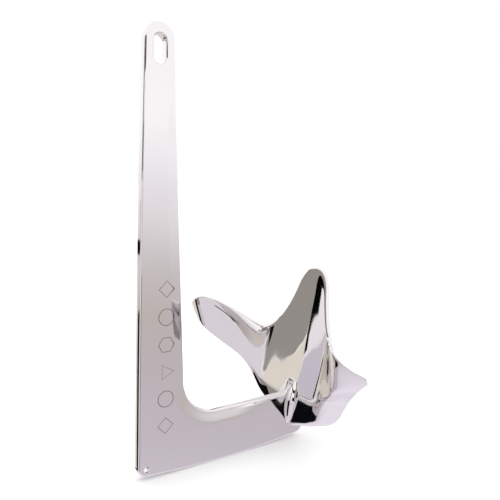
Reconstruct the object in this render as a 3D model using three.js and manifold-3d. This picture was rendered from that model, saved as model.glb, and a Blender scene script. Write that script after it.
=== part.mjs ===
// Claw anchor in polished stainless steel: a J-shaped shank whose arm is slotted over the
// rear rim of a three-toed fluke, and is welded to it inside and outside the scoop.
// Millimetres. +Z runs up the shank, +X from the shank towards the fluke, Y is athwart.
import * as THREE from 'three';
import { mergeVertices } from 'three/addons/utils/BufferGeometryUtils.js';
import Module from 'manifold-3d';

const wasm = await Module();
wasm.setup();

// ---- driving dimensions ----
const gap = 0.3;                  // running clearance between separate pieces

// shank, as seen from the side
const shankLength = 545;          // heel to the top of the head
const shankFoot = 61;             // width of the shank just above the inner corner
const headWidth = 36.5;           // width across the eye
const headSet = 5.3;              // how far the head's back stands in front of the heel's back
const heelRadius = 11;
const innerCornerRadius = 50;
const armHeight = 65;             // height of the arm
const armLength = 262;            // where the arm's underside would end if it weren't rounded
const armBelly = 5;               // how far the arm's underside bellies below the heel
const plateThickness = 14;
const innerEdgeThickness = 9;     // the plate thins towards its inner edge
const edgeBandWidth = 15;         // width of that thinned band
const bandFadeIn = 0.2;           // share of the inner edge over which the band comes in
const edgeRound = 2.6;            // rounding of the plate's long edges
const backBow = 251;              // height at which the back starts to lean forward

// eye for the shackle, and the small hole for a trip line
const slotWidth = 16;
const slotHeight = 33;
const slotCenterDrop = 30;        // eye centre below the top of the head
const slotFlare = 2;              // rounding of the eye's rim
const tripHoleDiameter = 8.5;
const tripHole = [11, 9];         // from the heel's back and underside
const tripHoleFlare = 0.6;

// root: where the arm's top edge sweeps up into the scoop
const rootRadius = 18;
const rootFoot = 238;             // x where that sweep stands upright
const rootDepth = 9;              // how deep its top is let into the scoop
const rootStep = 3;               // height of that let-in top above the sweep

// keel: the end of the arm that shows behind the scoop
const keelProud = 12;
const keelTop = 80;
const keelKnee = 30;              // height at which the keel stands upright
const keelRoot = 12;              // how deep the keel's top is let into the scoop
const keelShoulder = [4, 20];     // fullness of the keel below its top
const underRun = 30;              // length of the round from the underside up to the keel

// fluke: the scoop's inner surface
const palmTop = 250;
const palmRear = 20;
const palmFront = 276.8;          // x of the inner surface at the centre toe
const palmSweep = 53.4;           // how far the surface comes back at the rear rim
const palmCurl = 1.2;
const dishSlope = 0.15;           // the middle is dished: its sides stand this much forward
const dishTurn = 22;              // softness of the dish's bottom
const dishEnd = 48;               // half width of the dish
const dishEndTurn = 20;
const wingStart = 61.7;           // half width of the middle before the wings turn back
const wingSlope = 0.98;
const wingTurn = 10;              // softness of that turn
const wingTwist = 0.0046;         // the wings lean back more with height
const twistHeight = 150;          // height at which wingSlope is stated
const hookStart = 159;            // from here outward the side toes hook forward again
const hookSlope = 1.44;
const hookTurn = 20;

// fluke: its outline, looked at along X
const centreToeTip = 247;
const centreToeShoulder = [31, 221];
const notch = [75, 146];
const sideToeShoulder = [145, 183.5];
const sideToeTip = [201, 159];
const tipHandle = [24, 247];              // handles of the front rim's curves, in order
const flankHandle = [48, 163];
const notchHandle = [88, 147];
const sideToeRise = [120, 178.5];
const sideToeCrest = [163, 185.5];
const sideToeFall = [172, 167.5];
const rearRimLow = 13;
const rearRimPoints = [[21, 24], [50, 35], [70, 48], [90, 75], [110, 96], [150, 125], [180, 144]];
const toeEnd = 9;                 // width left at the very end of a side toe

// fluke: its thickness, which is a wedge from the deep rear wall to the thin front rim
const rimThickness = 5;
const crownWall = 21;             // depth of the rear wall beside the arm
const wingWall = 32;              // and under the wings
const wingWallFrom = 50;          // where the one starts to turn into the other
const wingWallTo = 82;            // and where it has
const toeWall = 4.5;              // and at the side toes' ends
const toeTaperStart = 125;        // from here outward the wall thins towards the toe's end
const toeTaperPower = 2.2;
const wallCornerRound = 5;
const wallRise = 38;              // the wall's inner edge stands this much above its lip
const wallRiseEnd = 130;          // where that slant has run out
const lipShare = 0.28;            // share of the wall's depth that the slant takes up
const wedgePower = 1.25;

// polished fillet welds
const innerWeld = { low: 20, high: 80, leg: 14 };
const outerWeld = { low: 22, high: 66, leg: 9 };
const weldEndLeg = 4;
const weldSwell = 0.6;            // how quickly a weld grows from its ends, lower being quicker

// ---- finishes ----
const polishedPlate = new THREE.MeshStandardMaterial({
  color: 0xc9c5c7, roughness: 0.08, metalness: 1 });
const polishedCasting = new THREE.MeshStandardMaterial({
  color: 0xb9b5b4, roughness: 0.07, metalness: 1 });
const polishedWeld = new THREE.MeshStandardMaterial({
  color: 0xc2bec0, roughness: 0.12, metalness: 1 });

// ---- helpers ----

// A closed skin of rings: ringAt(t) gives the ring's points, t running from 0 to 1.
function loft(ringAt, ringPoints, stations) {
  const geometry = new THREE.CylinderGeometry(1, 1, 1, ringPoints, stations);
  const position = geometry.attributes.position;
  const cache = new Map();
  const corner = new THREE.Vector3();
  for (let i = 0; i < position.count; i += 1) {
    corner.fromBufferAttribute(position, i);
    const station = Math.round((0.5 - corner.y) * stations);
    if (!cache.has(station)) {
      cache.set(station, ringAt(station / stations));
    }
    const ring = cache.get(station);
    const onAxis = Math.hypot(corner.x, corner.z) < 0.5;
    if (onAxis) {
      corner.set(0, 0, 0);
      ring.forEach((point) => corner.addScaledVector(point, 1 / ring.length));
    } else {
      const turn = Math.atan2(corner.x, corner.z) / (2 * Math.PI);
      const index = (Math.round(turn * ringPoints) + ringPoints) % ringPoints;
      corner.copy(ring[index]);
    }
    position.setXYZ(i, corner.x, corner.y, corner.z);
  }
  return toSolid(geometry);
}

function toSolid(geometry) {
  geometry.deleteAttribute('normal');
  geometry.deleteAttribute('uv');
  const merged = mergeVertices(geometry, 1e-4);
  const corners = new Uint32Array(merged.index.array);
  if (enclosedVolume(merged) < 0) {
    corners.reverse();
  }
  return new wasm.Manifold(new wasm.Mesh({
    numProp: 3,
    vertProperties: new Float32Array(merged.attributes.position.array),
    triVerts: corners,
  }));
}

// Negative where the faces point inwards.
function enclosedVolume(geometry) {
  const { position } = geometry.attributes;
  const [a, b, c] = [new THREE.Vector3(), new THREE.Vector3(), new THREE.Vector3()];
  let volume = 0;
  for (let i = 0; i < geometry.index.count; i += 3) {
    a.fromBufferAttribute(position, geometry.index.getX(i));
    b.fromBufferAttribute(position, geometry.index.getX(i + 1));
    c.fromBufferAttribute(position, geometry.index.getX(i + 2));
    volume += a.dot(b.cross(c)) / 6;
  }
  return volume;
}

function toMesh(name, solid, material) {
  const raw = solid.getMesh();
  const geometry = new THREE.BufferGeometry();
  geometry.setAttribute('position', new THREE.BufferAttribute(raw.vertProperties, 3));
  geometry.setIndex(new THREE.BufferAttribute(raw.triVerts, 1));
  geometry.computeVertexNormals();
  const mesh = new THREE.Mesh(geometry, material);
  mesh.name = name;
  return mesh;
}

// ---- the scoop's surface ----

// A corner rounded over a width: 0 well below the start, then a slope of one.
function softRamp(value, start, width) {
  const past = value - start;
  return 0.5 * (past + Math.hypot(past, width));
}

// x of the scoop's inner surface.
function palmX(y, z) {
  const out = Math.abs(y);
  const drop = Math.max(palmTop - z, 0) / (palmTop - palmRear);
  const slope = wingSlope + wingTwist * (z - twistHeight);
  const wing = slope * (softRamp(out, wingStart, wingTurn) - softRamp(0, wingStart, wingTurn));
  const hook = hookSlope * softRamp(out, hookStart, hookTurn);
  const dishSide = softRamp(out, dishEnd, dishEndTurn) - softRamp(0, dishEnd, dishEndTurn);
  const dish = dishSlope * (Math.hypot(out, dishTurn) - dishTurn - dishSide);
  return palmFront - palmSweep * drop ** palmCurl - dish - wing + hook;
}

// Unit normal of that surface, pointing away from the shank.
function palmNormal(y, z) {
  const step = 0.5;
  const slantY = (palmX(y + step, z) - palmX(y - step, z)) / (2 * step);
  const slantZ = (palmX(y, z + step) - palmX(y, z - step)) / (2 * step);
  return new THREE.Vector3(1, -slantY, -slantZ).normalize();
}

// Depth of the rear wall at a distance athwart.
function wallDepth(y) {
  const out = Math.abs(y);
  const spread = THREE.MathUtils.smoothstep(out, wingWallFrom, wingWallTo);
  const toe = THREE.MathUtils.clamp((out - toeTaperStart) / (sideToeTip[0] - toeTaperStart), 0, 1);
  const broad = THREE.MathUtils.lerp(crownWall, wingWall, spread);
  return THREE.MathUtils.lerp(broad, toeWall, toe ** toeTaperPower);
}

// Front rim from the centre toe's tip, down into the notch, out to a side toe's upper corner
// and down its slanted end.
const frontRim = new THREE.Path();
frontRim.moveTo(0, centreToeTip);
frontRim.quadraticCurveTo(...tipHandle, ...centreToeShoulder);
frontRim.quadraticCurveTo(...flankHandle, ...notch);
frontRim.bezierCurveTo(...notchHandle, ...sideToeRise, ...sideToeShoulder);
frontRim.bezierCurveTo(
  ...sideToeCrest, ...sideToeFall, sideToeTip[0], sideToeTip[1] + toeEnd / 2);

// Rear rim from the arm out to the same tip.
const rearRim = new THREE.SplineCurve([
  new THREE.Vector2(0, rearRimLow),
  ...rearRimPoints.map((point) => new THREE.Vector2(...point)),
  new THREE.Vector2(sideToeTip[0], sideToeTip[1] - toeEnd / 2),
]);

// Points along a bent line whose corners are rounded, from one end to the other.
function roundedBend(corners, radius, steps) {
  const points = [];
  for (let k = 1; k < corners.length - 1; k += 1) {
    const [before, at, after] = [corners[k - 1], corners[k], corners[k + 1]];
    const enter = at.clone().lerp(before, Math.min(radius / at.distanceTo(before), 0.45));
    const leave = at.clone().lerp(after, Math.min(radius / at.distanceTo(after), 0.45));
    points.push(...new THREE.QuadraticBezierCurve(enter, at, leave).getPoints(steps));
  }
  return points;
}

// How much higher the rear wall's inner edge stands than its lip, at a distance athwart.
function riseAt(y) {
  return wallRise * (1 - THREE.MathUtils.smoothstep(Math.abs(y), 0, wallRiseEnd));
}

// One ring of the scoop: up the inner face, round the front rim, down the outer face and
// across the rear wall. grow makes the same shape larger all over, to cut clearance for it.
function flukeRing(across, grow, sideSteps, endSteps) {
  const reach = Math.min(Math.abs(across), 1);
  const side = across < 0 ? -1 : 1;
  const rear = rearRim.getPointAt(reach);
  const front = frontRim.getPointAt(reach);
  const length = rear.distanceTo(front);
  const wall = wallDepth(rear.x);
  const place = (s, depth) => {
    const t = s / length;
    const y = THREE.MathUtils.lerp(rear.x, front.x, t);
    const z = THREE.MathUtils.lerp(rear.y, front.y, t);
    const thin = Math.max(1 - t, 0) ** wedgePower;
    const thickness = THREE.MathUtils.lerp(rimThickness, wall, Math.min(thin, 1));
    const point = new THREE.Vector3(palmX(y, z), y, z);
    const outward = palmNormal(Math.min(y, toeTaperStart), z);
    point.addScaledVector(outward, thickness * depth + (2 * depth - 1) * grow);
    point.y *= side;
    return point;
  };
  const frontRound = Math.min(rimThickness / 2, length * 0.4);
  const corner = Math.min(wallCornerRound, length * 0.3);
  const rise = Math.min(riseAt(rear.x), length * 0.3);
  const innerStart = rise + corner;
  const outerEnd = corner;
  const ring = [];
  for (let k = 0; k < sideSteps; k += 1) {
    ring.push(place(THREE.MathUtils.lerp(innerStart, length - frontRound, k / sideSteps), 0));
  }
  for (let k = 0; k < endSteps; k += 1) {
    const angle = Math.PI * (k / endSteps);
    const s = length - frontRound + (frontRound + grow) * Math.sin(angle);
    ring.push(place(s, 0.5 - 0.5 * Math.cos(angle)));
  }
  for (let k = 0; k < sideSteps; k += 1) {
    ring.push(place(THREE.MathUtils.lerp(length - frontRound, outerEnd, k / sideSteps), 1));
  }
  const wallLine = [
    new THREE.Vector2(outerEnd + corner, wall),
    new THREE.Vector2(0, wall),
    new THREE.Vector2(0, wall * lipShare),
    new THREE.Vector2(rise, 0),
    new THREE.Vector2(innerStart + corner, 0),
  ];
  const cornerSteps = endSteps / 2;
  const bend = roundedBend(wallLine, corner, cornerSteps);
  bend.slice(0, -1).forEach((point) => ring.push(place(point.x - grow, point.y / wall)));
  return ring;
}

function flukeSolid(grow) {
  const sideSteps = 12;
  const endSteps = 6;
  const stations = 68;
  const ringAt = (t) => flukeRing(1 - 2 * t, grow, sideSteps, endSteps);
  return loft(ringAt, ringAt(0).length, stations);
}

// ---- shank ----
const headRadius = headWidth / 2;
const headCenter = [headSet + headRadius, shankLength - headRadius];
const cornerTop = armHeight + innerCornerRadius;
const keelFront = palmX(0, palmRear) + crownWall + keelProud;

// The shank's inner edge, from below the head down, round the corner, along the arm and up
// its root.
const rootTop = armHeight + rootRadius;
const innerEdge = new THREE.Path();
innerEdge.moveTo(headSet + headWidth, headCenter[1]);
innerEdge.lineTo(shankFoot, cornerTop);
innerEdge.absarc(
  shankFoot + innerCornerRadius, cornerTop, innerCornerRadius, Math.PI, 1.5 * Math.PI, false);
innerEdge.lineTo(rootFoot - rootRadius, armHeight);
innerEdge.absarc(
  rootFoot - rootRadius, rootTop, rootRadius, 1.5 * Math.PI, 2 * Math.PI, false);

// The whole side outline: the inner edge, then the keel behind the scoop, the underside,
// the heel, the back and the round head.
function shankOutline() {
  const outline = new THREE.Shape();
  outline.curves = innerEdge.curves.slice();
  outline.currentPoint.copy(innerEdge.currentPoint);
  outline.lineTo(palmX(0, rootTop) + rootDepth, rootTop + rootStep);
  outline.lineTo(palmX(0, keelTop) + keelRoot, keelTop);
  outline.quadraticCurveTo(
    keelFront + keelShoulder[0], keelTop - keelShoulder[1], keelFront, keelKnee);
  outline.bezierCurveTo(keelFront, keelKnee / 3, armLength, 0, armLength - underRun, 0);
  outline.quadraticCurveTo(armLength / 2, -2 * armBelly, heelRadius, 0);
  outline.absarc(heelRadius, heelRadius, heelRadius, 1.5 * Math.PI, Math.PI, true);
  outline.quadraticCurveTo(0, backBow, headSet, headCenter[1]);
  outline.absarc(headCenter[0], headCenter[1], headRadius, Math.PI, 0, true);
  return outline;
}

// Turns an extrusion's depth from Z to Y, centred on the plate.
function standUp(geometry, middle) {
  geometry.translate(0, 0, -middle);
  geometry.rotateX(Math.PI / 2);
  return geometry;
}

function slotShape(width, height) {
  const shape = new THREE.Shape();
  const half = height / 2 - width / 2;
  const [x] = headCenter;
  const z = shankLength - slotCenterDrop;
  shape.absarc(x, z + half, width / 2, 0, Math.PI, false);
  shape.absarc(x, z - half, width / 2, Math.PI, 2 * Math.PI, false);
  return shape;
}

function tripHoleShape(diameter) {
  const shape = new THREE.Shape();
  shape.absarc(...tripHole, diameter / 2, 0, 2 * Math.PI, false);
  return shape;
}

// A cutter through the plate along Y whose mouth widens by flare at both faces.
function flaredCutter(shape, flare) {
  const options = { depth: 3 * plateThickness, bevelEnabled: false, curveSegments: 10 };
  let cutter = toSolid(standUp(new THREE.ExtrudeGeometry(shape, options), options.depth / 2));
  const mouthOptions = {
    depth: flare,
    bevelEnabled: true,
    bevelThickness: flare,
    bevelSize: flare,
    bevelSegments: 2,
    curveSegments: 10,
  };
  [-1, 1].forEach((side) => {
    const mouth = new THREE.ExtrudeGeometry(shape, mouthOptions);
    standUp(mouth, flare / 2);
    mouth.translate(0, side * (plateThickness / 2 + flare / 2), 0);
    cutter = cutter.add(toSolid(mouth));
  });
  return cutter;
}

// A wedge along the inner edge that thins the plate from the ridge to the edge on one side.
function bandCutter(side) {
  const stations = 72;
  const taper = (plateThickness - innerEdgeThickness) / 2;
  const beyond = 4;
  const face = plateThickness / 2;
  const ringAt = (t) => {
    const point = innerEdge.getPointAt(t);
    const along = innerEdge.getTangentAt(t);
    const fade = THREE.MathUtils.smoothstep(t, 0, bandFadeIn);
    const low = face - taper * fade * (1 + beyond / edgeBandWidth);
    const at = (out, y) => new THREE.Vector3(
      point.x - along.y * out, side * y, point.y + along.x * out);
    return [
      at(-edgeBandWidth, face),
      at(-edgeBandWidth, face + beyond),
      at(beyond, face + beyond),
      at(beyond, low),
    ];
  };
  return loft(ringAt, 4, stations);
}

function shankSolid() {
  const extrusion = new THREE.ExtrudeGeometry(shankOutline(), {
    depth: plateThickness - 2 * edgeRound,
    bevelEnabled: true,
    bevelThickness: edgeRound,
    bevelSize: edgeRound,
    bevelOffset: -edgeRound,
    bevelSegments: 3,
    curveSegments: 14,
  });
  return toSolid(standUp(extrusion, plateThickness / 2 - edgeRound))
    .subtract(bandCutter(1))
    .subtract(bandCutter(-1))
    .subtract(flaredCutter(slotShape(slotWidth, slotHeight), slotFlare))
    .subtract(flaredCutter(tripHoleShape(tripHoleDiameter), tripHoleFlare))
    .subtract(flukeSolid(gap));
}

// ---- fillet welds ----

// Depth of the scoop along X in its middle, where the outer welds lie on it.
function crownDepth(z) {
  const t = (z - rearRimLow) / (centreToeTip - rearRimLow);
  const thickness = THREE.MathUtils.lerp(rimThickness, crownWall, (1 - t) ** wedgePower);
  return thickness / palmNormal(0, z).x;
}

// How far the slanted rear wall stands behind the inner surface, near the middle.
function wallSlant(y, z) {
  const [firstAthwart, firstHigh] = rearRimPoints[0];
  const rim = THREE.MathUtils.lerp(rearRimLow, firstHigh, Math.abs(y) / firstAthwart);
  const below = THREE.MathUtils.clamp(1 - (z - rim) / riseAt(y), 0, 1);
  return crownWall * lipShare * below * palmNormal(y, z).x;
}

// Half thickness of the arm where a weld lies against it.
const weldFace = plateThickness / 2 + gap;

// One weld between a side of the arm and the scoop. inside picks the scoop's face.
function filletWeld(side, inside) {
  const stations = 22;
  const arcSteps = 6;
  const { low, high, leg } = inside ? innerWeld : outerWeld;
  const face = inside ? -1 : 1;
  const surface = (y, z) => palmX(y, z) + (inside ? wallSlant(y, z) - gap : crownDepth(z) + gap);
  const ringAt = (t) => {
    const z = THREE.MathUtils.lerp(low, high, t);
    const swell = Math.max(Math.sin(Math.PI * t), 0) ** weldSwell;
    const size = THREE.MathUtils.lerp(weldEndLeg, leg, swell);
    const ring = [new THREE.Vector3(surface(weldFace, z), side * weldFace, z)];
    for (let k = 0; k <= arcSteps; k += 1) {
      const angle = (Math.PI / 2) * (k / arcSteps);
      const out = size * (1 - Math.sin(angle));
      const y = weldFace + size * (1 - Math.cos(angle));
      ring.push(new THREE.Vector3(surface(y, z) + face * out, side * y, z));
    }
    return ring;
  };
  return loft(ringAt, arcSteps + 2, stations);
}

// ---- the anchor ----
const anchor = new THREE.Group();
anchor.add(toMesh('shank', shankSolid(), polishedPlate));
anchor.add(toMesh('fluke', flukeSolid(0), polishedCasting));
[['inner', true], ['outer', false]].forEach(([face, inside]) => {
  [['left', 1], ['right', -1]].forEach(([hand, side]) => {
    anchor.add(toMesh(`weld_${face}_${hand}`, filletWeld(side, inside), polishedWeld));
  });
});

// Origin: the middle of the anchor's footprint, at the height of the arm's underside.
const extent = new THREE.Box3().setFromObject(anchor);
anchor.position.set(-(extent.min.x + extent.max.x) / 2, 0, -extent.min.z);

export default anchor;
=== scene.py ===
import math
import bmesh
import bpy
from mathutils import Matrix, Vector, geometry


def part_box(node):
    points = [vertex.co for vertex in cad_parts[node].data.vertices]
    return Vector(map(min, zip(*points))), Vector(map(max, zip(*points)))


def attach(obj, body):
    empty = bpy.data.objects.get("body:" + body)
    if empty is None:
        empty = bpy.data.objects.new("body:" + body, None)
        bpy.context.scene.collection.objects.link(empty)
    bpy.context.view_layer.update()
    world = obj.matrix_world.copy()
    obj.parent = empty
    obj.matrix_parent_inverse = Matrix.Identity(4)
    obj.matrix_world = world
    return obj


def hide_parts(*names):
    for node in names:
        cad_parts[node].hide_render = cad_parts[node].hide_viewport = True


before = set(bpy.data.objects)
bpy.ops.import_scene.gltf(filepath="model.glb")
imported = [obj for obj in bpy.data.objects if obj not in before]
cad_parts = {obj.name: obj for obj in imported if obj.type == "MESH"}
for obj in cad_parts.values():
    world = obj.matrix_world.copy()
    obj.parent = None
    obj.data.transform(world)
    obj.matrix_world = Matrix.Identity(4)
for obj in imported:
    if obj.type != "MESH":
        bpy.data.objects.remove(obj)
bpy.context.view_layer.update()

scene = bpy.context.scene
scene.view_settings.view_transform = "Standard"

# The anchor is drawn in millimetres from its heel: x from the shank's back towards the fluke,
# z up from the heel. place() puts such a point into the frame.
shankLow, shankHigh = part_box("shank")
heel = Vector((shankLow.x, 0, shankHigh.z - 0.545))


def place(x, y, z):
    return heel + Vector((x, y, z)) * 0.001


def lerp(a, b, share):
    return a + (b - a) * share


def smoothStep(value, low, high):
    t = min(max((value - low) / (high - low), 0), 1)
    return t * t * (3 - 2 * t)


# materials

# a hex colour as the renderer takes it
def linear(hexColour):
    channels = [int(hexColour[i:i + 2], 16) / 255 for i in (1, 3, 5)]
    spread = [c / 12.92 if c <= 0.04045 else ((c + 0.055) / 1.055) ** 2.4 for c in channels]
    return (*spread, 1)


def addNode(tree, kind, settings=None, links=None):
    node = tree.nodes.new(kind)
    for name, value in (settings or {}).items():
        if hasattr(node, name) and name not in node.inputs:
            setattr(node, name, value)
        else:
            node.inputs[name].default_value = value
    for name, source in (links or {}).items():
        tree.links.new(source, node.inputs[name])
    return node


def polishedStainless(name, look):
    material = bpy.data.materials.new(name)
    material.use_nodes = True
    tree = material.node_tree
    shader = tree.nodes["Principled BSDF"]
    shader.inputs["Metallic"].default_value = 1
    coords = addNode(tree, "ShaderNodeTexCoord").outputs["Object"]

    # slight warm and cool drift in the steel
    drift = addNode(tree, "ShaderNodeTexNoise",
                    {"Scale": 1 / look["driftSize"], "Detail": 2.0}, {"Vector": coords})
    tint = addNode(tree, "ShaderNodeMix", {"data_type": "RGBA"}, {"Factor": drift.outputs["Fac"]})
    tint.inputs["A"].default_value = linear(look["warm"])
    tint.inputs["B"].default_value = linear(look["cool"])
    tree.links.new(tint.outputs["Result"], shader.inputs["Base Color"])

    # buffing haze
    haze = addNode(tree, "ShaderNodeTexNoise",
                   {"Scale": 1 / look["hazeSize"], "Detail": 4.0}, {"Vector": coords})
    rough = addNode(tree, "ShaderNodeMapRange",
                    {"From Min": look["hazeLow"], "From Max": look["hazeHigh"],
                     "To Min": look["roughness"], "To Max": look["hazeRoughness"]},
                    {"Value": haze.outputs["Fac"]})
    tree.links.new(rough.outputs["Result"], shader.inputs["Roughness"])

    # waves left by the casting and the belt, under the buffing's own finer ripple
    wave = addNode(tree, "ShaderNodeTexNoise",
                   {"Scale": 1 / look["waveSize"], "Detail": 1.0, "Roughness": 0.35},
                   {"Vector": coords})
    waveBump = addNode(tree, "ShaderNodeBump",
                       {"Strength": 1.0, "Distance": look["waveHeight"]},
                       {"Height": wave.outputs["Fac"]})
    ripple = addNode(tree, "ShaderNodeTexNoise",
                     {"Scale": 1 / look["rippleSize"], "Detail": 2.0}, {"Vector": coords})
    rippleBump = addNode(tree, "ShaderNodeBump",
                         {"Strength": 1.0, "Distance": look["rippleHeight"]},
                         {"Height": ripple.outputs["Fac"], "Normal": waveBump.outputs["Normal"]})
    tree.links.new(rippleBump.outputs["Normal"], shader.inputs["Normal"])
    return material


# Rolled plate, belted flat and buffed: long calm reflections with hardly any waviness.
plateLook = {
    "warm": "#e8e4e1",
    "cool": "#e0dde3",
    "driftSize": 0.12,       # metres, as are all sizes below
    "roughness": 0.03,
    "hazeRoughness": 0.09,
    "hazeSize": 0.03,
    "hazeLow": 0.35,         # noise below this is clear polish, above the next full haze
    "hazeHigh": 0.7,
    "waveSize": 0.09,
    "waveHeight": 0.0003,
    "rippleSize": 0.011,
    "rippleHeight": 0.00001,
}
# Cast 316, ground and buffed: reflections bend softly, as the ground surface is never flat.
castingLook = dict(plateLook, warm="#e5e1dc", cool="#dfdce1", waveSize=0.05, waveHeight=0.0003,
                   rippleSize=0.012, rippleHeight=0.000008, roughness=0.02, hazeRoughness=0.06)
# Weld metal, ground back and buffed: short uneven glints.
weldLook = dict(castingLook, waveSize=0.025, waveHeight=0.00008)

plateSteel = polishedStainless("polished_316_plate", plateLook)
castingSteel = polishedStainless("polished_316_casting", castingLook)
weldSteel = polishedStainless("polished_weld_metal", weldLook)

# A darker, matt line that breaks the polish in place of the engraved grooves: its dark tone is
# painted shade of the grooves, its matt grain the line's own roughness.
grooveShadeLook = {
    # painted shade: a darker tone standing in for the shade inside the engraved grooves
    "colour": "#8d8584",
    "grainSize": 0.0008,
    "roughLow": 0.3,
    "roughHigh": 0.55,
}
grooveShadeSteel = bpy.data.materials.new("groove_shade_line")
grooveShadeSteel.use_nodes = True
grooveShadeTree = grooveShadeSteel.node_tree
grooveShadeShader = grooveShadeTree.nodes["Principled BSDF"]
grooveShadeShader.inputs["Metallic"].default_value = 1
# base colour darkened as painted groove shade; the roughness below is the line's own matt grain
grooveShadeShader.inputs["Base Color"].default_value = linear(grooveShadeLook["colour"])
markCoords = addNode(grooveShadeTree, "ShaderNodeTexCoord").outputs["Object"]
markGrain = addNode(grooveShadeTree, "ShaderNodeTexNoise",
                    {"Scale": 1 / grooveShadeLook["grainSize"], "Detail": 3.0}, {"Vector": markCoords})
markRough = addNode(grooveShadeTree, "ShaderNodeMapRange",
                    {"To Min": grooveShadeLook["roughLow"], "To Max": grooveShadeLook["roughHigh"]},
                    {"Value": markGrain.outputs["Fac"]})
grooveShadeTree.links.new(markRough.outputs["Result"], grooveShadeShader.inputs["Roughness"])
print("materials made")


# camera
view = {
    "lens": 38.14,
    "sensor": 36,
    "right": (0.8343, -0.5504, 0.0312),
    "top": (0.0432, 0.1216, 0.9916),
    "spot": (-231.9, -586.9, 366.6),       # mm from the heel
    "clip": (0.05, 60),
}
camera = bpy.data.objects.new("camera", bpy.data.cameras.new("camera"))
scene.collection.objects.link(camera)
scene.camera = camera
camera.data.lens = view["lens"]
camera.data.sensor_width = view["sensor"]
camera.data.clip_start, camera.data.clip_end = view["clip"]
toRight, toTop = Vector(view["right"]), Vector(view["top"])
toBack = toRight.cross(toTop)
axes = Matrix((toRight, toTop, toBack)).transposed()
camera.matrix_world = Matrix.Translation(place(*view["spot"])) @ axes.to_4x4()
print("camera placed")


# helpers for meshes

def newPiece(name, mesh, material):
    mesh.materials.clear()
    mesh.materials.append(material)
    piece = bpy.data.objects.new(name, mesh)
    scene.collection.objects.link(piece)
    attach(piece, "root")
    return piece


# points evenly spread along a line of points
def alongPolyline(points, count):
    lengths = [0]
    for a, b in zip(points, points[1:]):
        lengths.append(lengths[-1] + math.dist(a, b))
    spread = []
    k = 0
    for i in range(count):
        target = lengths[-1] * i / (count - 1)
        while k < len(points) - 2 and lengths[k + 1] < target:
            k += 1
        step = lengths[k + 1] - lengths[k]
        share = (target - lengths[k]) / step if step else 0
        spread.append((lerp(points[k][0], points[k + 1][0], share),
                       lerp(points[k][1], points[k + 1][1], share)))
    return spread


def bezier(controls, steps):
    points = []
    for i in range(steps + 1):
        work = [Vector(c) for c in controls]
        while len(work) > 1:
            work = [a.lerp(b, i / steps) for a, b in zip(work, work[1:])]
        points.append((work[0].x, work[0].y))
    return points


def arc(centre, radius, start, end, steps):
    turns = [math.radians(lerp(start, end, i / steps)) for i in range(steps + 1)]
    return [(centre[0] + radius * math.cos(a), centre[1] + radius * math.sin(a)) for a in turns]


# fluke: the three-toed scoop, millimetres
fluke = {
    "palmTop": 250,
    "palmRear": 20,
    "palmFront": 276.8,      # x of the inner surface at the centre toe
    "palmSweep": 53.4,       # how far the surface comes back at the rear rim
    "palmCurl": 1.2,
    "dishSlope": 0.15,       # the middle is dished
    "dishTurn": 22,
    "dishEnd": 48,
    "dishEndTurn": 20,
    "wingStart": 61.7,       # half width of the middle before the wings turn back
    "wingSlope": 0.98,
    "wingTurn": 10,
    "wingTwist": 0.0046,     # the wings lean back more with height
    "twistHeight": 150,
    "hookStart": 159,        # from here outward the side toes hook forward again
    "hookSlope": 1.44,
    "hookTurn": 20,
    "centreToeTip": 247,
    "centreToeShoulder": (31, 221),
    "notch": (75, 146),
    "sideToeShoulder": (145, 183.5),
    "sideToeTip": (201, 159),
    # handles of the front rim's curves, each measured from the corner it belongs to
    "tipHandle": 7,
    "flankHandle": 17,
    "notchHandle": (13, 1),
    "sideRise": (25, 5),
    "sideCrest": (18, 2),
    "sideFall": (27, 16),
    "rearRim": [(0, 13), (21, 24), (50, 35), (70, 48), (90, 75), (110, 96), (150, 125),
                (180, 144)],
    "toeEnd": 9,
    "rimThickness": 5,
    "crownWall": 21,
    "wingWall": 32,
    "wallTurn": (-12, 20),   # the one turns into the other over this span about wingStart
    "toeWall": 4.5,
    "toeTaperStart": 125,
    "toeTaperPower": 2.2,
    "wallCornerRound": 5,
    "wallRise": 38,
    "wallRiseEnd": 130,
    "lipShare": 0.28,
    "rimRoll": 1.5,
    "rimRollWidth": 16,
    "wedgePower": 1.25,
    "stations": 260,
    "sideSteps": 46,
    "endSteps": 12,
    "rimSteps": 2000,
    "noseShare": 0.014,      # the last part of each toe, rounded off to a nose
    "noseSteps": 8,
    # the same shape, a little larger and coarser, cuts the slot in the shank
    "cutterGrow": 0.1,
    "cutterStations": 120,
    "cutterSideSteps": 20,
}


# a corner rounded over a width: 0 well below the start, then a slope of one
def softRamp(value, start, width):
    past = value - start
    return 0.5 * (past + math.hypot(past, width))


# x of the scoop's inner surface
def palmX(y, z):
    f = fluke
    out = abs(y)
    drop = max(f["palmTop"] - z, 0) / (f["palmTop"] - f["palmRear"])
    slope = f["wingSlope"] + f["wingTwist"] * (z - f["twistHeight"])
    wing = softRamp(out, f["wingStart"], f["wingTurn"]) - softRamp(0, f["wingStart"], f["wingTurn"])
    hook = f["hookSlope"] * softRamp(out, f["hookStart"], f["hookTurn"])
    dishSide = (softRamp(out, f["dishEnd"], f["dishEndTurn"])
                - softRamp(0, f["dishEnd"], f["dishEndTurn"]))
    dish = f["dishSlope"] * (math.hypot(out, f["dishTurn"]) - f["dishTurn"] - dishSide)
    return f["palmFront"] - f["palmSweep"] * drop ** f["palmCurl"] - dish - slope * wing + hook


def palmNormal(y, z):
    slantY = palmX(y + 0.5, z) - palmX(y - 0.5, z)
    slantZ = palmX(y, z + 0.5) - palmX(y, z - 0.5)
    return Vector((1, -slantY, -slantZ)).normalized()


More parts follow.
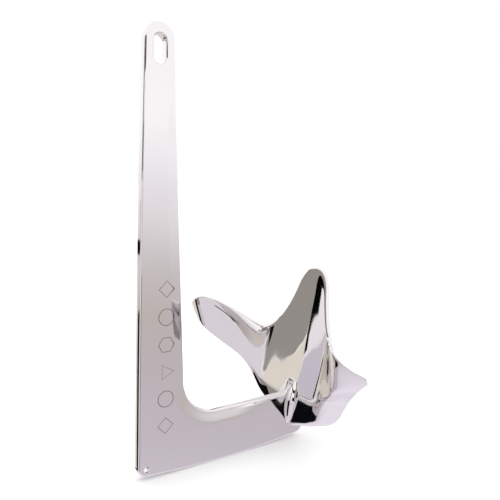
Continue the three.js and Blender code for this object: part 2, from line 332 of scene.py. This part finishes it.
# depth of the rear wall at a distance athwart
def wallDepth(out):
    f = fluke
    spread = smoothStep(out, *(f["wingStart"] + d for d in f["wallTurn"]))
    toe = (out - f["toeTaperStart"]) / (f["sideToeTip"][0] - f["toeTaperStart"])
    broad = lerp(f["crownWall"], f["wingWall"], spread)
    return lerp(broad, f["toeWall"], min(max(toe, 0), 1) ** f["toeTaperPower"])


# a smooth curve through every point
def splineThrough(points, steps):
    last = len(points) - 1
    curve = []
    for i in range(last * steps + 1):
        k = min(i // steps, last - 1)
        t = i / steps - k
        p0, p1, p2, p3 = (Vector(points[min(max(j, 0), last)]) for j in range(k - 1, k + 3))
        v0, v1 = (p2 - p0) / 2, (p3 - p1) / 2
        p = ((2 * (p1 - p2) + v0 + v1) * t ** 3 + (3 * (p2 - p1) - 2 * v0 - v1) * t ** 2
             + v0 * t + p1)
        curve.append((p.x, p.y))
    return curve


def flukeRims():
    f = fluke
    shoulder, notch = f["centreToeShoulder"], f["notch"]
    side, tip = f["sideToeShoulder"], f["sideToeTip"]
    flank, off = f["flankHandle"], f["notchHandle"]
    rise, crest, fall = f["sideRise"], f["sideCrest"], f["sideFall"]
    steps = 120
    front = bezier([(0, f["centreToeTip"]), (shoulder[0] - f["tipHandle"], f["centreToeTip"]),
                    shoulder], steps)
    front += bezier([shoulder, (shoulder[0] + flank, notch[1] + flank), notch], steps)[1:]
    front += bezier([notch, (notch[0] + off[0], notch[1] + off[1]),
                     (side[0] - rise[0], side[1] - rise[1]), side], steps)[1:]
    front += bezier([side, (side[0] + crest[0], side[1] + crest[1]),
                     (side[0] + fall[0], side[1] - fall[1]),
                     (tip[0], tip[1] + f["toeEnd"] / 2)], steps)[1:]
    rear = splineThrough(f["rearRim"] + [(tip[0], tip[1] - f["toeEnd"] / 2)], steps // 2)
    count = f["rimSteps"] + 1
    return alongPolyline(rear, count), alongPolyline(front, count)


rearRim, frontRim = flukeRims()


# points along a bent line whose corners are rounded
def roundedBend(corners, radius, steps):
    points = []
    for before, at, after in zip(corners, corners[1:], corners[2:]):
        enter = at.lerp(before, min(radius / (at - before).length, 0.45))
        leave = at.lerp(after, min(radius / (at - after).length, 0.45))
        points += bezier([enter, at, leave], steps)
    return points


# how much higher the rear wall's inner edge stands than its lip
def riseAt(y):
    return fluke["wallRise"] * (1 - smoothStep(abs(y), 0, fluke["wallRiseEnd"]))


# one ring of the scoop: up the inner face, round the front rim, down the outer face and across
# the rear wall, at a share of the way out to one toe or the other
def flukeRing(across, grow, sideSteps):
    f = fluke
    reach = min(abs(across), 1) * f["rimSteps"]
    k = min(int(reach), f["rimSteps"] - 1)
    share = reach - k
    rear = Vector(rearRim[k]).lerp(Vector(rearRim[k + 1]), share)
    front = Vector(frontRim[k]).lerp(Vector(frontRim[k + 1]), share)
    length = (front - rear).length
    wall = wallDepth(rear.x)

    def point(s, depth):
        t = s / length
        y, z = rear.lerp(front, t)
        thin = min(max(1 - t, 0) ** f["wedgePower"], 1)
        thickness = lerp(f["rimThickness"], wall, thin)
        spot = Vector((palmX(y, z), y, z))
        outward = palmNormal(min(y, f["toeTaperStart"]), z)
        roll = f["rimRoll"] * max(1 - (length - s) / f["rimRollWidth"], 0) ** 2 * (1 - depth)
        spot += outward * (thickness * depth + roll + (2 * depth - 1) * grow)
        spot.y *= -1 if across < 0 else 1
        return spot

    frontRound = min(f["rimThickness"] / 2, length * 0.4)
    corner = min(f["wallCornerRound"], length * 0.3)
    rise = min(riseAt(rear.x), length * 0.3)
    sides, ends = sideSteps, f["endSteps"]
    ring = []
    for k in range(sides):
        ring.append(point(lerp(rise + corner, length - frontRound, k / sides), 0))
    for k in range(ends):
        angle = math.pi * k / ends
        ring.append(point(length - frontRound + (frontRound + grow) * math.sin(angle),
                          0.5 - 0.5 * math.cos(angle)))
    for k in range(sides):
        ring.append(point(lerp(length - frontRound, corner, k / sides), 1))
    wallLine = [Vector(c) for c in ((2 * corner, wall), (0, wall), (0, wall * f["lipShare"]),
                                    (rise, 0), (rise + 2 * corner, 0))]
    for s, offset in roundedBend(wallLine, corner, ends // 2)[:-1]:
        ring.append(point(s - grow, offset / wall))
    return ring


# the rings that close one toe, shrinking to its nose
def noseRings(side, grow, sideSteps):
    f = fluke
    rings = []
    for k in range(1, f["noseSteps"] + 1):
        turn = math.pi / 2 * k / f["noseSteps"]
        reach = 1 - f["noseShare"] + f["noseShare"] * math.sin(turn)
        ring = flukeRing(side * reach, grow, sideSteps)
        middle = sum(ring, Vector()) / len(ring)
        shrink = max(math.cos(turn), 0.04) ** 0.7
        rings.append([middle.lerp(p, shrink) for p in ring])
    return rings


def flukeMesh(name, grow, stations, sideSteps):
    lastReach = 1 - fluke["noseShare"] * 1.2
    spots = [1 - 2 * i / stations for i in range(stations + 1)]
    rings = noseRings(1, grow, sideSteps)[::-1]
    rings += [flukeRing(spot, grow, sideSteps) for spot in spots if abs(spot) <= lastReach]
    rings += noseRings(-1, grow, sideSteps)
    mesh = bpy.data.meshes.new(name)
    bm = bmesh.new()
    loops = [[bm.verts.new(place(*p)) for p in ring] for ring in rings]
    for a, b in zip(loops, loops[1:]):
        for i in range(len(a)):
            j = (i + 1) % len(a)
            bm.faces.new((a[i], a[j], b[j], b[i]))
    bm.faces.new(loops[0])
    bm.faces.new(list(reversed(loops[-1])))
    bmesh.ops.recalc_face_normals(bm, faces=bm.faces)
    for face in bm.faces:
        face.smooth = True
    bm.to_mesh(mesh)
    bm.free()
    return mesh


flukeBody = flukeMesh("fluke_body", 0, fluke["stations"], fluke["sideSteps"])
flukePiece = newPiece("fluke_body", flukeBody, castingSteel)
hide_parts("fluke")
print("fluke made:", len(flukePiece.data.polygons), "faces")


# shank: the J-shaped plate, millimetres
shank = {
    "length": 545,
    "foot": 61,
    "headWidth": 36.5,
    "headSet": 5.3,
    "heelRadius": 11,
    "innerCornerRadius": 50,
    "armHeight": 65,
    "armLength": 262,
    "armBelly": 5,
    "thickness": 14,
    "innerEdgeThickness": 9,
    "bandWidth": 15,
    "bandFade": (0, 0.2, 0.82, 0.95),      # shares of the inner edge over which it comes and goes
    "bandSteps": (4, 7, 10, 12.5, 13.7, 14.4, 15, 15.6, 16.3, 17.5),
    "ridgeRound": 1.2,
    "edgeRound": 2.6,
    "sharpAngle": 42,        # degrees; the slot's edges stay crisp above it
    "slotWidth": 16,
    "slotHeight": 33,
    "slotCenterDrop": 30,
    "slotFlare": 2,
    "slotSupport": 0.7,      # narrow strip of flat that holds the rim's shading
    "tripHole": (11, 9),
    "tripHoleDiameter": 8.5,
    "tripHoleFlare": 0.6,
    "tripHoleSupport": 0.25,
    "rootRadius": 18,
    "rootFoot": 238,
    "rootDepth": 9,
    "rootStep": 3,
    "keelProud": 12,         # the arm's end shows this far behind the scoop
    "keelTop": 80,
    "keelKnee": 30,
    "keelRoot": 12,
    "keelShoulder": (4, 20),
    "underRun": 30,
    "bowShare": 0.46,        # of the length: where the back starts to lean forward
}


# the side outline, and how far the thinned band has come in at each of its points
def shankOutline():
    s = shank
    headRadius = s["headWidth"] / 2
    head = (s["headSet"] + headRadius, s["length"] - headRadius)
    cornerTop = s["armHeight"] + s["innerCornerRadius"]
    rootX, rootZ = s["rootFoot"] - s["rootRadius"], s["armHeight"] + s["rootRadius"]
    inner = [(lerp(s["headSet"] + s["headWidth"], s["foot"], i / 90),
              lerp(head[1], cornerTop, i / 90)) for i in range(91)]
    corner = (s["foot"] + s["innerCornerRadius"], cornerTop)
    inner += arc(corner, s["innerCornerRadius"], 180, 270, 40)[1:]
    inner += [(lerp(s["foot"] + s["innerCornerRadius"], rootX, i / 30), s["armHeight"])
              for i in range(1, 31)]
    inner += arc((rootX, rootZ), s["rootRadius"], -90, 0, 24)[1:]
    keelFront = palmX(0, fluke["palmRear"]) + fluke["crownWall"] + s["keelProud"]
    behind = (palmX(0, s["keelTop"]) + s["keelRoot"], s["keelTop"])
    step = (palmX(0, rootZ) + s["rootDepth"], rootZ + s["rootStep"])
    outer = [(lerp(inner[-1][0], step[0], i / 8), lerp(inner[-1][1], step[1], i / 8))
             for i in range(1, 9)]
    outer += [(lerp(step[0], behind[0], i / 12), lerp(step[1], behind[1], i / 12))
              for i in range(1, 13)]
    shoulder = (keelFront + s["keelShoulder"][0], s["keelTop"] - s["keelShoulder"][1])
    knee = (keelFront, s["keelKnee"])
    under = (s["armLength"] - s["underRun"], 0)
    outer += bezier([behind, shoulder, knee], 24)[1:]
    outer += bezier([knee, (keelFront, s["keelKnee"] / 3), (s["armLength"], 0), under], 24)[1:]
    outer += bezier([under, (s["armLength"] / 2, -2 * s["armBelly"]), (s["heelRadius"], 0)],
                    60)[1:]
    outer += arc((s["heelRadius"], s["heelRadius"]), s["heelRadius"], 270, 180, 20)[1:]
    outer += bezier([(0, s["heelRadius"]), (0, s["length"] * s["bowShare"]),
                     (s["headSet"], head[1])], 90)[1:]
    outer += arc(head, headRadius, 180, 0, 56)[1:-1]
    lengths = [0]
    for a, b in zip(inner, inner[1:]):
        lengths.append(lengths[-1] + math.dist(a, b))
    band = []
    for run in lengths:
        t = run / lengths[-1]
        fade = s["bandFade"]
        band.append(smoothStep(t, *fade[:2]) * (1 - smoothStep(t, *fade[2:])))
    return inner + outer, band + [0] * len(outer)


# unit normals of a closed line of points, towards its inside
def inwardNormals(points):
    normals = []
    for i in range(len(points)):
        a, b = Vector(points[i - 1]), Vector(points[(i + 1) % len(points)])
        along = (b - a).normalized()
        normals.append(Vector((-along.y, along.x)))
    area = sum(p[0] * q[1] - q[0] * p[1] for p, q in zip(points, points[1:] + points[:1]))
    return normals if area > 0 else [-n for n in normals]


# half the plate's thickness at steps in from its edge
def halfSection(band):
    s = shank
    half = s["thickness"] / 2
    thin = (s["thickness"] - s["innerEdgeThickness"]) / 2 * band
    edgeHalf = half - thin
    radius = s["edgeRound"]
    section = [(0, edgeHalf - radius)]
    for k in range(1, 9):
        turn = math.pi / 2 * k / 8
        section.append((radius * (1 - math.cos(turn)), edgeHalf - radius * (1 - math.sin(turn))))
    wide = s["bandWidth"]
    slope = thin / (wide - radius)
    for d in s["bandSteps"]:
        at = lerp(radius + (d - radius) * 0.05, d, band)
        ridge = lerp(radius + (wide - radius) * 0.05, wide, band)
        section.append((at, half - slope * softRamp(ridge - at, 0, s["ridgeRound"] * band)))
    section[-1] = (section[-1][0], half)
    return section


# each hole's outline, the rounding of its rim and the strip of flat beside that
def holeOutlines():
    s = shank
    x = s["headSet"] + s["headWidth"] / 2
    z, r = s["length"] - s["slotCenterDrop"], s["slotWidth"] / 2
    reach = s["slotHeight"] / 2 - r
    slot = arc((x, z + reach), r, 0, 180, 32) + arc((x, z - reach), r, 180, 360, 32)
    trip = arc(s["tripHole"], s["tripHoleDiameter"] / 2, 0, 360, 40)[:-1]
    return ((slot, s["slotFlare"], s["slotSupport"]),
            (trip, s["tripHoleFlare"], s["tripHoleSupport"]))


def shankMesh(name):
    half = shank["thickness"] / 2
    bm = bmesh.new()
    outline, band = shankOutline()
    normals = inwardNormals(outline)
    sections = [halfSection(b) for b in band]
    stacks = []
    # rings run from the flat of the near face, round the edge, to the flat of the far face
    steps = len(sections[0])
    order = [(k, -1) for k in reversed(range(steps))] + [(0, 0)] + [(k, 1) for k in range(steps)]
    rings = []
    for k, side in order:
        rings.append([bm.verts.new(place(p[0] + n.x * c[k][0], side * c[k][1],
                                         p[1] + n.y * c[k][0]))
                      for p, n, c in zip(outline, normals, sections)])
    stacks.append(rings)
    for points, flare, support in holeOutlines():
        outward = [-n for n in inwardNormals(points)]
        profile = [(0, half - flare)]
        for k in range(1, 7):
            turn = math.pi / 2 * k / 6
            profile.append((flare * (1 - math.cos(turn)), half - flare + flare * math.sin(turn)))
        profile.append((flare + support, half))
        walk = [(d, -h) for d, h in reversed(profile)] + [(0, 0)] + profile
        stacks.append([[bm.verts.new(place(p[0] + n.x * d, h, p[1] + n.y * d))
                        for p, n in zip(points, outward)] for d, h in walk])
    for rings in stacks:
        for a, b in zip(rings, rings[1:]):
            for i in range(len(a)):
                j = (i + 1) % len(a)
                bm.faces.new((a[i], a[j], b[j], b[i]))
    # the flats between the rings
    for end in (0, -1):
        loops = [stack[end] for stack in stacks]
        verts = [v for loop in loops for v in loop]
        flat = [[Vector((v.co.x, v.co.z, 0)) for v in loop] for loop in loops]
        for tri in geometry.tessellate_polygon(flat):
            bm.faces.new([verts[i] for i in tri])
    bmesh.ops.recalc_face_normals(bm, faces=bm.faces)
    for face in bm.faces:
        face.smooth = True
    mesh = bpy.data.meshes.new(name)
    bm.to_mesh(mesh)
    bm.free()
    return mesh


shankPiece = newPiece("shank_body", shankMesh("shank_body"), plateSteel)
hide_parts("shank")


# takes the cutter's shape out of a piece
def cutWith(piece, cutterMesh):
    cutter = bpy.data.objects.new("cutter", cutterMesh)
    scene.collection.objects.link(cutter)
    cut = piece.modifiers.new("cut", "BOOLEAN")
    cut.object = cutter
    cut.operation = "DIFFERENCE"
    cut.solver = "MANIFOLD"
    bpy.context.view_layer.update()
    evaluated = piece.evaluated_get(bpy.context.evaluated_depsgraph_get())
    result = bpy.data.meshes.new_from_object(evaluated)
    piece.modifiers.clear()
    piece.data = result
    bpy.data.objects.remove(cutter)


cutWith(shankPiece, flukeMesh("slot_cutter", fluke["cutterGrow"], fluke["cutterStations"],
                              fluke["cutterSideSteps"]))
shankPiece.data.set_sharp_from_angle(angle=math.radians(shank["sharpAngle"]))
print("shank made:", len(shankPiece.data.polygons), "faces")


# welds: four polished fillets, millimetres
weld = {
    "innerLow": 20,
    "innerHigh": 82,
    "innerLeg": 14,
    "outerLow": 22,
    "outerHigh": 68,
    "outerLeg": 9,
    "endShare": 0.12,        # of the leg, left at a weld's ends
    "swell": 0.6,            # how quickly a weld grows from its ends, lower being quicker
    "seamSteps": 90,
    "hollowSteps": 16,
    "bite": 0.35,            # how far a weld is run into the steel beside it
}


def nodeInput(tree, name, kind, value=None):
    socket = tree.interface.new_socket(name, in_out="INPUT", socket_type=kind)
    if value is not None:
        socket.default_value = value
    return socket.identifier


# sweeps a profile along a curve, swelling from its ends
def sweptWeldTree():
    tree = bpy.data.node_groups.new("sweptWeld", "GeometryNodeTree")
    ids = {
        "Geometry": nodeInput(tree, "Geometry", "NodeSocketGeometry"),
        "Profile": nodeInput(tree, "Profile", "NodeSocketObject"),
        "Leg": nodeInput(tree, "Leg", "NodeSocketFloat", 0.01),
        "End Share": nodeInput(tree, "End Share", "NodeSocketFloat", 0.1),
        "Swell": nodeInput(tree, "Swell", "NodeSocketFloat", 0.6),
        "Material": nodeInput(tree, "Material", "NodeSocketMaterial"),
    }
    tree.interface.new_socket("Geometry", in_out="OUTPUT", socket_type="NodeSocketGeometry")
    given = addNode(tree, "NodeGroupInput").outputs
    factor = addNode(tree, "GeometryNodeSplineParameter").outputs["Factor"]

    def maths(operation, a, b=0.0):
        node = addNode(tree, "ShaderNodeMath", {"operation": operation})
        for socket, value in zip(node.inputs, (a, b)):
            if isinstance(value, (int, float)):
                socket.default_value = value
            else:
                tree.links.new(value, socket)
        return node.outputs[0]

    hump = maths("MAXIMUM", maths("SINE", maths("MULTIPLY", factor, math.pi)), 0.0)
    swell = maths("POWER", hump, given["Swell"])
    share = maths("ADD", given["End Share"],
                  maths("MULTIPLY", maths("SUBTRACT", 1.0, given["End Share"]), swell))
    profile = addNode(tree, "GeometryNodeObjectInfo", links={"Object": given["Profile"]})
    upright = addNode(tree, "GeometryNodeSetCurveNormal", {"mode": "Z_UP"},
                      {"Curve": given["Geometry"]})
    sweep = addNode(tree, "GeometryNodeCurveToMesh", {"Fill Caps": True},
                    {"Curve": upright.outputs["Curve"],
                     "Profile Curve": profile.outputs["Geometry"],
                     "Scale": maths("MULTIPLY", share, given["Leg"])})
    smooth = addNode(tree, "GeometryNodeSetShadeSmooth", links={"Geometry": sweep.outputs["Mesh"]})
    real = addNode(tree, "GeometryNodeRealizeInstances",
                   links={"Geometry": smooth.outputs["Geometry"]})
    coated = addNode(tree, "GeometryNodeSetMaterial",
                     links={"Geometry": real.outputs["Geometry"], "Material": given["Material"]})
    out = addNode(tree, "NodeGroupOutput")
    tree.links.new(coated.outputs["Geometry"], out.inputs["Geometry"])
    return tree, ids


def curveObject(name, points, cyclic=False):
    curve = bpy.data.curves.new(name, "CURVE")
    curve.dimensions = "3D"
    spline = curve.splines.new("POLY")
    spline.points.add(len(points) - 1)
    for spot, point in zip(spline.points, points):
        spot.co = (*point, 1)
    spline.use_cyclic_u = cyclic
    thing = bpy.data.objects.new(name, curve)
    scene.collection.objects.link(thing)
    return thing


# the plain mesh that a node tree makes of an object, which is then thrown away
def runTree(carrier, tree, values):
    modifier = carrier.modifiers.new("nodes", "NODES")
    modifier.node_group = tree
    for identifier, value in values.items():
        modifier[identifier] = value
    bpy.context.view_layer.update()
    evaluated = carrier.evaluated_get(bpy.context.evaluated_depsgraph_get())
    mesh = bpy.data.meshes.new_from_object(evaluated)
    carrier.modifiers.clear()
    bpy.data.objects.remove(carrier)
    return mesh


def rimHeight(y):
    (y0, z0), (y1, z1) = fluke["rearRim"][:2]
    return lerp(z0, z1, abs(y) / y1)


# x of the scoop's two faces beside the arm
def innerFace(y, z):
    below = min(max(1 - (z - rimHeight(y)) / riseAt(y), 0), 1)
    return palmX(y, z) + fluke["crownWall"] * fluke["lipShare"] * below * palmNormal(y, z).x


def outerFace(y, z):
    t = (z - fluke["rearRim"][0][1]) / (fluke["centreToeTip"] - fluke["rearRim"][0][1])
    thickness = lerp(fluke["rimThickness"], fluke["crownWall"], (1 - t) ** fluke["wedgePower"])
    return palmX(y, z) + thickness / palmNormal(y, z).x


def makeWeld(name, side, inside, tree, ids):
    w = weld
    low, high, leg = ((w["innerLow"], w["innerHigh"], w["innerLeg"]) if inside
                      else (w["outerLow"], w["outerHigh"], w["outerLeg"]))
    face = innerFace if inside else outerFace
    outward = -1 if inside else 1
    armSide = shank["thickness"] / 2 - w["bite"]
    heights = [lerp(low, high, i / w["seamSteps"]) for i in range(w["seamSteps"] + 1)]
    seam = [place(face(armSide, z) - outward * w["bite"], side * armSide, z) for z in heights]
    # a corner filled by a hollow quarter round, legs of one
    turns = [math.pi / 2 * k / w["hollowSteps"] for k in range(w["hollowSteps"] + 1)]
    hollow = [(0, 0)] + [(1 - math.cos(a), 1 - math.sin(a)) for a in turns]
    profile = curveObject("profile", [(-side * x, outward * y, 0) for x, y in hollow],
                          cyclic=True)
    carrier = curveObject("seam", seam)
    mesh = runTree(carrier, tree, {ids["Profile"]: profile, ids["Leg"]: leg / 1000,
                                   ids["End Share"]: w["endShare"], ids["Swell"]: w["swell"],
                                   ids["Material"]: weldSteel})
    bpy.data.objects.remove(profile)
    bm = bmesh.new()
    bm.from_mesh(mesh)
    bmesh.ops.remove_doubles(bm, verts=bm.verts, dist=1e-7)
    bmesh.ops.recalc_face_normals(bm, faces=bm.faces)
    bm.to_mesh(mesh)
    bm.free()
    piece = newPiece(name + "_bead", mesh, weldSteel)
    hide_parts(name)


weldTree, weldIds = sweptWeldTree()
for hand, side in (("left", 1), ("right", -1)):
    for where, inside in (("inner", True), ("outer", False)):
        makeWeld("weld_" + where + "_" + hand, side, inside, weldTree, weldIds)
print("welds made")


# row of plain shapes on the shank, drawn as raised lines whose dark material is painted groove
# shade, metres unless noted
marks = {
    "sides": (4, 32, 3, 6, 32, 4),     # corners of each shape, lowest first
    "radius": 0.0103,
    "pitch": 0.0348,
    "lowest": (35, 62),      # mm from the heel: centre of the lowest shape
    "lineWidth": 0.0011,
    "stand": 0.00012,        # height of the line above the polish
}


# a column of outlines, each a thin raised line
def markRowTree():
    tree = bpy.data.node_groups.new("markRow", "GeometryNodeTree")
    ids = {
        "Radius": nodeInput(tree, "Radius", "NodeSocketFloat", 0.01),
        "Pitch": nodeInput(tree, "Pitch", "NodeSocketFloat", 0.03),
        "Line Width": nodeInput(tree, "Line Width", "NodeSocketFloat", 0.001),
        "Stand": nodeInput(tree, "Stand", "NodeSocketFloat", 0.0001),
        "Material": nodeInput(tree, "Material", "NodeSocketMaterial"),
    }
    tree.interface.new_socket("Geometry", in_out="OUTPUT", socket_type="NodeSocketGeometry")
    given = addNode(tree, "NodeGroupInput").outputs
    step = addNode(tree, "ShaderNodeCombineXYZ", links={"Z": given["Pitch"]})
    spots = addNode(tree, "GeometryNodeMeshLine", {"Count": len(marks["sides"])},
                    {"Offset": step.outputs[0]})
    shapes = addNode(tree, "GeometryNodeJoinGeometry")
    for corners in reversed(marks["sides"]):
        ring = addNode(tree, "GeometryNodeCurvePrimitiveCircle", {"Resolution": corners},
                       {"Radius": given["Radius"]})
        single = addNode(tree, "GeometryNodeGeometryToInstance",
                         links={"Geometry": ring.outputs["Curve"]})
        tree.links.new(single.outputs["Instances"], shapes.inputs["Geometry"])
    upright = addNode(tree, "GeometryNodeInstanceOnPoints",
                      {"Pick Instance": True, "Rotation": (math.pi / 2, 0, 0)},
                      {"Points": spots.outputs["Mesh"], "Instance": shapes.outputs["Geometry"]})
    real = addNode(tree, "GeometryNodeRealizeInstances",
                   links={"Geometry": upright.outputs["Instances"]})
    bead = addNode(tree, "GeometryNodeCurvePrimitiveCircle", {"Resolution": 8, "Radius": 1.0})
    half = addNode(tree, "ShaderNodeMath", {"operation": "MULTIPLY"})
    half.inputs[1].default_value = 0.5
    tree.links.new(given["Line Width"], half.inputs[0])
    line = addNode(tree, "GeometryNodeCurveToMesh",
                   links={"Curve": real.outputs["Geometry"], "Profile Curve": bead.outputs["Curve"],
                          "Scale": half.outputs[0]})
    ratio = addNode(tree, "ShaderNodeMath", {"operation": "DIVIDE"})
    tree.links.new(given["Stand"], ratio.inputs[0])
    tree.links.new(half.outputs[0], ratio.inputs[1])
    squash = addNode(tree, "ShaderNodeCombineXYZ", {"X": 1.0, "Z": 1.0}, {"Y": ratio.outputs[0]})
    flat = addNode(tree, "GeometryNodeTransform",
                   links={"Geometry": line.outputs["Mesh"], "Scale": squash.outputs[0]})
    whole = addNode(tree, "GeometryNodeRealizeInstances",
                    links={"Geometry": flat.outputs["Geometry"]})
    coated = addNode(tree, "GeometryNodeSetMaterial",
                     links={"Geometry": whole.outputs["Geometry"], "Material": given["Material"]})
    out = addNode(tree, "NodeGroupOutput")
    tree.links.new(coated.outputs["Geometry"], out.inputs["Geometry"])
    return tree, ids


markTree, markIds = markRowTree()
markCarrier = bpy.data.objects.new("row", bpy.data.meshes.new("row"))
scene.collection.objects.link(markCarrier)
markMesh = runTree(markCarrier, markTree, {
    markIds["Radius"]: marks["radius"], markIds["Pitch"]: marks["pitch"],
    markIds["Line Width"]: marks["lineWidth"], markIds["Stand"]: marks["stand"],
    markIds["Material"]: grooveShadeSteel})
markMesh.transform(Matrix.Translation(place(marks["lowest"][0], -shank["thickness"] / 2,
                                            marks["lowest"][1])))
# the raised lines stand in for engraved grooves and carry the painted groove shade material
newPiece("etched_row", markMesh, grooveShadeSteel)
print("mark row with painted groove shade made:", len(markMesh.polygons), "faces")


# studio
studio = {
    "white": "#ffffff",
    "floorColour": "#f6f6f6",
    "floorRoughness": 0.9,
    "floorHalf": 40,         # metres
    "lampEnergy": 1.1,
    "lampSpread": 80,        # degrees
    "domeRadius": 30,        # metres
    "domeGap": 0.3,          # each panel hangs this far inside the one before
    "domeCell": 6,           # degrees
    # colour of the room by elevation in degrees, seen only in the polish
    "room": [(-90, "#ece7f0"), (-50, "#e6e0ea"), (-34, "#d3cdd6"), (-27, "#c6c0c7"),
             (-20, "#c1bbbd"), (-14, "#c0bab6"), (-9, "#cbc6c5"), (-4, "#e0dde0"),
             (1, "#efedf0"), (7, "#ffffff"), (90, "#ffffff")],
    "roomStrength": 1.2,
    # panels in it: from azimuth, to azimuth, from elevation, to elevation, how far the top
    # leans over, and the colour. Degrees, azimuth counted from +X towards +Y.
    "panels": {
        "palePatch": (158, 230, -40, 1, 0, "#dedae1"),
        "blackRail": (150, 250, 13, 17, 0, "#0a0a0a"),
        "darkWall": (127.4, 192, 1.6, 16, 0, "#97938f"),
        "blackFlag": (121.5, 127.5, 1.2, 9, 0, "#050505"),
        "blackFlagTop": (124.5, 127.5, 9, 16, 0, "#050505"),
        "blackFlagFoot": (125, 130, -0.4, 1.2, 0, "#050505"),
        "blackFold": (178, 207, 3, 8, 0, "#080808"),
        "cream": (127, 160, -4, 1.4, 0, "#e2ddd1"),
        "lavender": (117, 130, -9, -0.9, -4, "#c8c4ce"),
        "brownUnder": (133, 160, -27, -12, 0, "#958d87"),
        "blackUnder": (98, 133, -34, -13, 0, "#0b0d10"),
        "creamRight": (57, 112, -30, -8, 0, "#ddd8cc"),
        "blackLine": (96, 116, -6.8, -5.2, 5, "#101010"),
        "blackEdge": (-134, -127, -30, 12, 0, "#1a1a1a"),
        "blackAft": (-136, -114, -34, -9, 0, "#0b0d10"),
        "blackToe": (206, 209.5, -15, -13, 0, "#101010"),
    },
}


def glowing(name, hexColour, strength):
    paint = bpy.data.materials.new(name)
    paint.use_nodes = True
    tree = paint.node_tree
    tree.nodes.remove(tree.nodes["Principled BSDF"])
    light = addNode(tree, "ShaderNodeEmission", {"Color": linear(hexColour), "Strength": strength})
    tree.links.new(light.outputs[0], tree.nodes["Material Output"].inputs["Surface"])
    return paint


# a glowing patch of a far sphere that only reflections see; returns its material's nodes
def domePanel(name, fromAzimuth, toAzimuth, fromElevation, toElevation, lean, hexColour, radius):
    across = max(int((toAzimuth - fromAzimuth) / studio["domeCell"]), 2)
    up = max(int((toElevation - fromElevation) / studio["domeCell"]), 2)
    verts = []
    for j in range(up + 1):
        e = math.radians(lerp(fromElevation, toElevation, j / up))
        for i in range(across + 1):
            a = math.radians(lerp(fromAzimuth, toAzimuth, i / across) + lean * (j / up))
            verts.append((radius * math.cos(e) * math.cos(a), radius * math.cos(e) * math.sin(a),
                          radius * math.sin(e)))
    faces = []
    for j in range(up):
        for i in range(across):
            k = j * (across + 1) + i
            faces.append((k, k + 1, k + across + 2, k + across + 1))
    mesh = bpy.data.meshes.new(name)
    mesh.from_pydata(verts, [], faces)
    mesh.materials.append(glowing(name, hexColour, studio["roomStrength"]))
    panel = bpy.data.objects.new(name, mesh)
    scene.collection.objects.link(panel)
    panel.visible_camera = False
    panel.visible_diffuse = False
    panel.visible_shadow = False
    return mesh.materials[0].node_tree


world = bpy.data.worlds.new("studio")
scene.world = world
world.use_nodes = True
world.node_tree.nodes["Background"].inputs["Color"].default_value = linear(studio["white"])
radius = studio["domeRadius"]
roomTree = domePanel("room", -180, 180, -90, 90, 0, studio["white"], radius)
height = addNode(roomTree, "ShaderNodeSeparateXYZ", links={
    "Vector": addNode(roomTree, "ShaderNodeTexCoord").outputs["Object"]}).outputs["Z"]
share = addNode(roomTree, "ShaderNodeMapRange",
                {"From Min": -radius, "From Max": radius}, {"Value": height}).outputs["Result"]
ramp = addNode(roomTree, "ShaderNodeValToRGB", links={"Fac": share})
stops = ramp.color_ramp.elements
while len(stops) < len(studio["room"]):
    stops.new(0.5)
for stop, (elevation, hexColour) in zip(stops, studio["room"]):
    stop.position = 0.5 + 0.5 * math.sin(math.radians(elevation))
    stop.color = linear(hexColour)
roomTree.links.new(ramp.outputs["Color"], roomTree.nodes["Emission"].inputs["Color"])
for order, (name, panel) in enumerate(studio["panels"].items()):
    domePanel(name, *panel, radius - studio["domeGap"] * (order + 1))

floorMesh = bpy.data.meshes.new("floor")
half = studio["floorHalf"]
floorMesh.from_pydata([(-half, -half, 0), (half, -half, 0), (half, half, 0), (-half, half, 0)],
                      [], [(0, 1, 2, 3)])
floor = bpy.data.objects.new("floor", floorMesh)
scene.collection.objects.link(floor)
floorPaint = bpy.data.materials.new("floor_paint")
floorPaint.use_nodes = True
floorShader = floorPaint.node_tree.nodes["Principled BSDF"]
floorShader.inputs["Base Color"].default_value = linear(studio["floorColour"])
floorShader.inputs["Roughness"].default_value = studio["floorRoughness"]
floorMesh.materials.append(floorPaint)
floor.visible_glossy = False

# one huge soft lamp overhead lifts the floor to white and leaves a faint shadow
overhead = bpy.data.objects.new("overhead", bpy.data.lights.new("overhead", "SUN"))
overhead.data.energy = studio["lampEnergy"]
overhead.data.angle = math.radians(studio["lampSpread"])
overhead.visible_glossy = False
scene.collection.objects.link(overhead)
print("studio made")
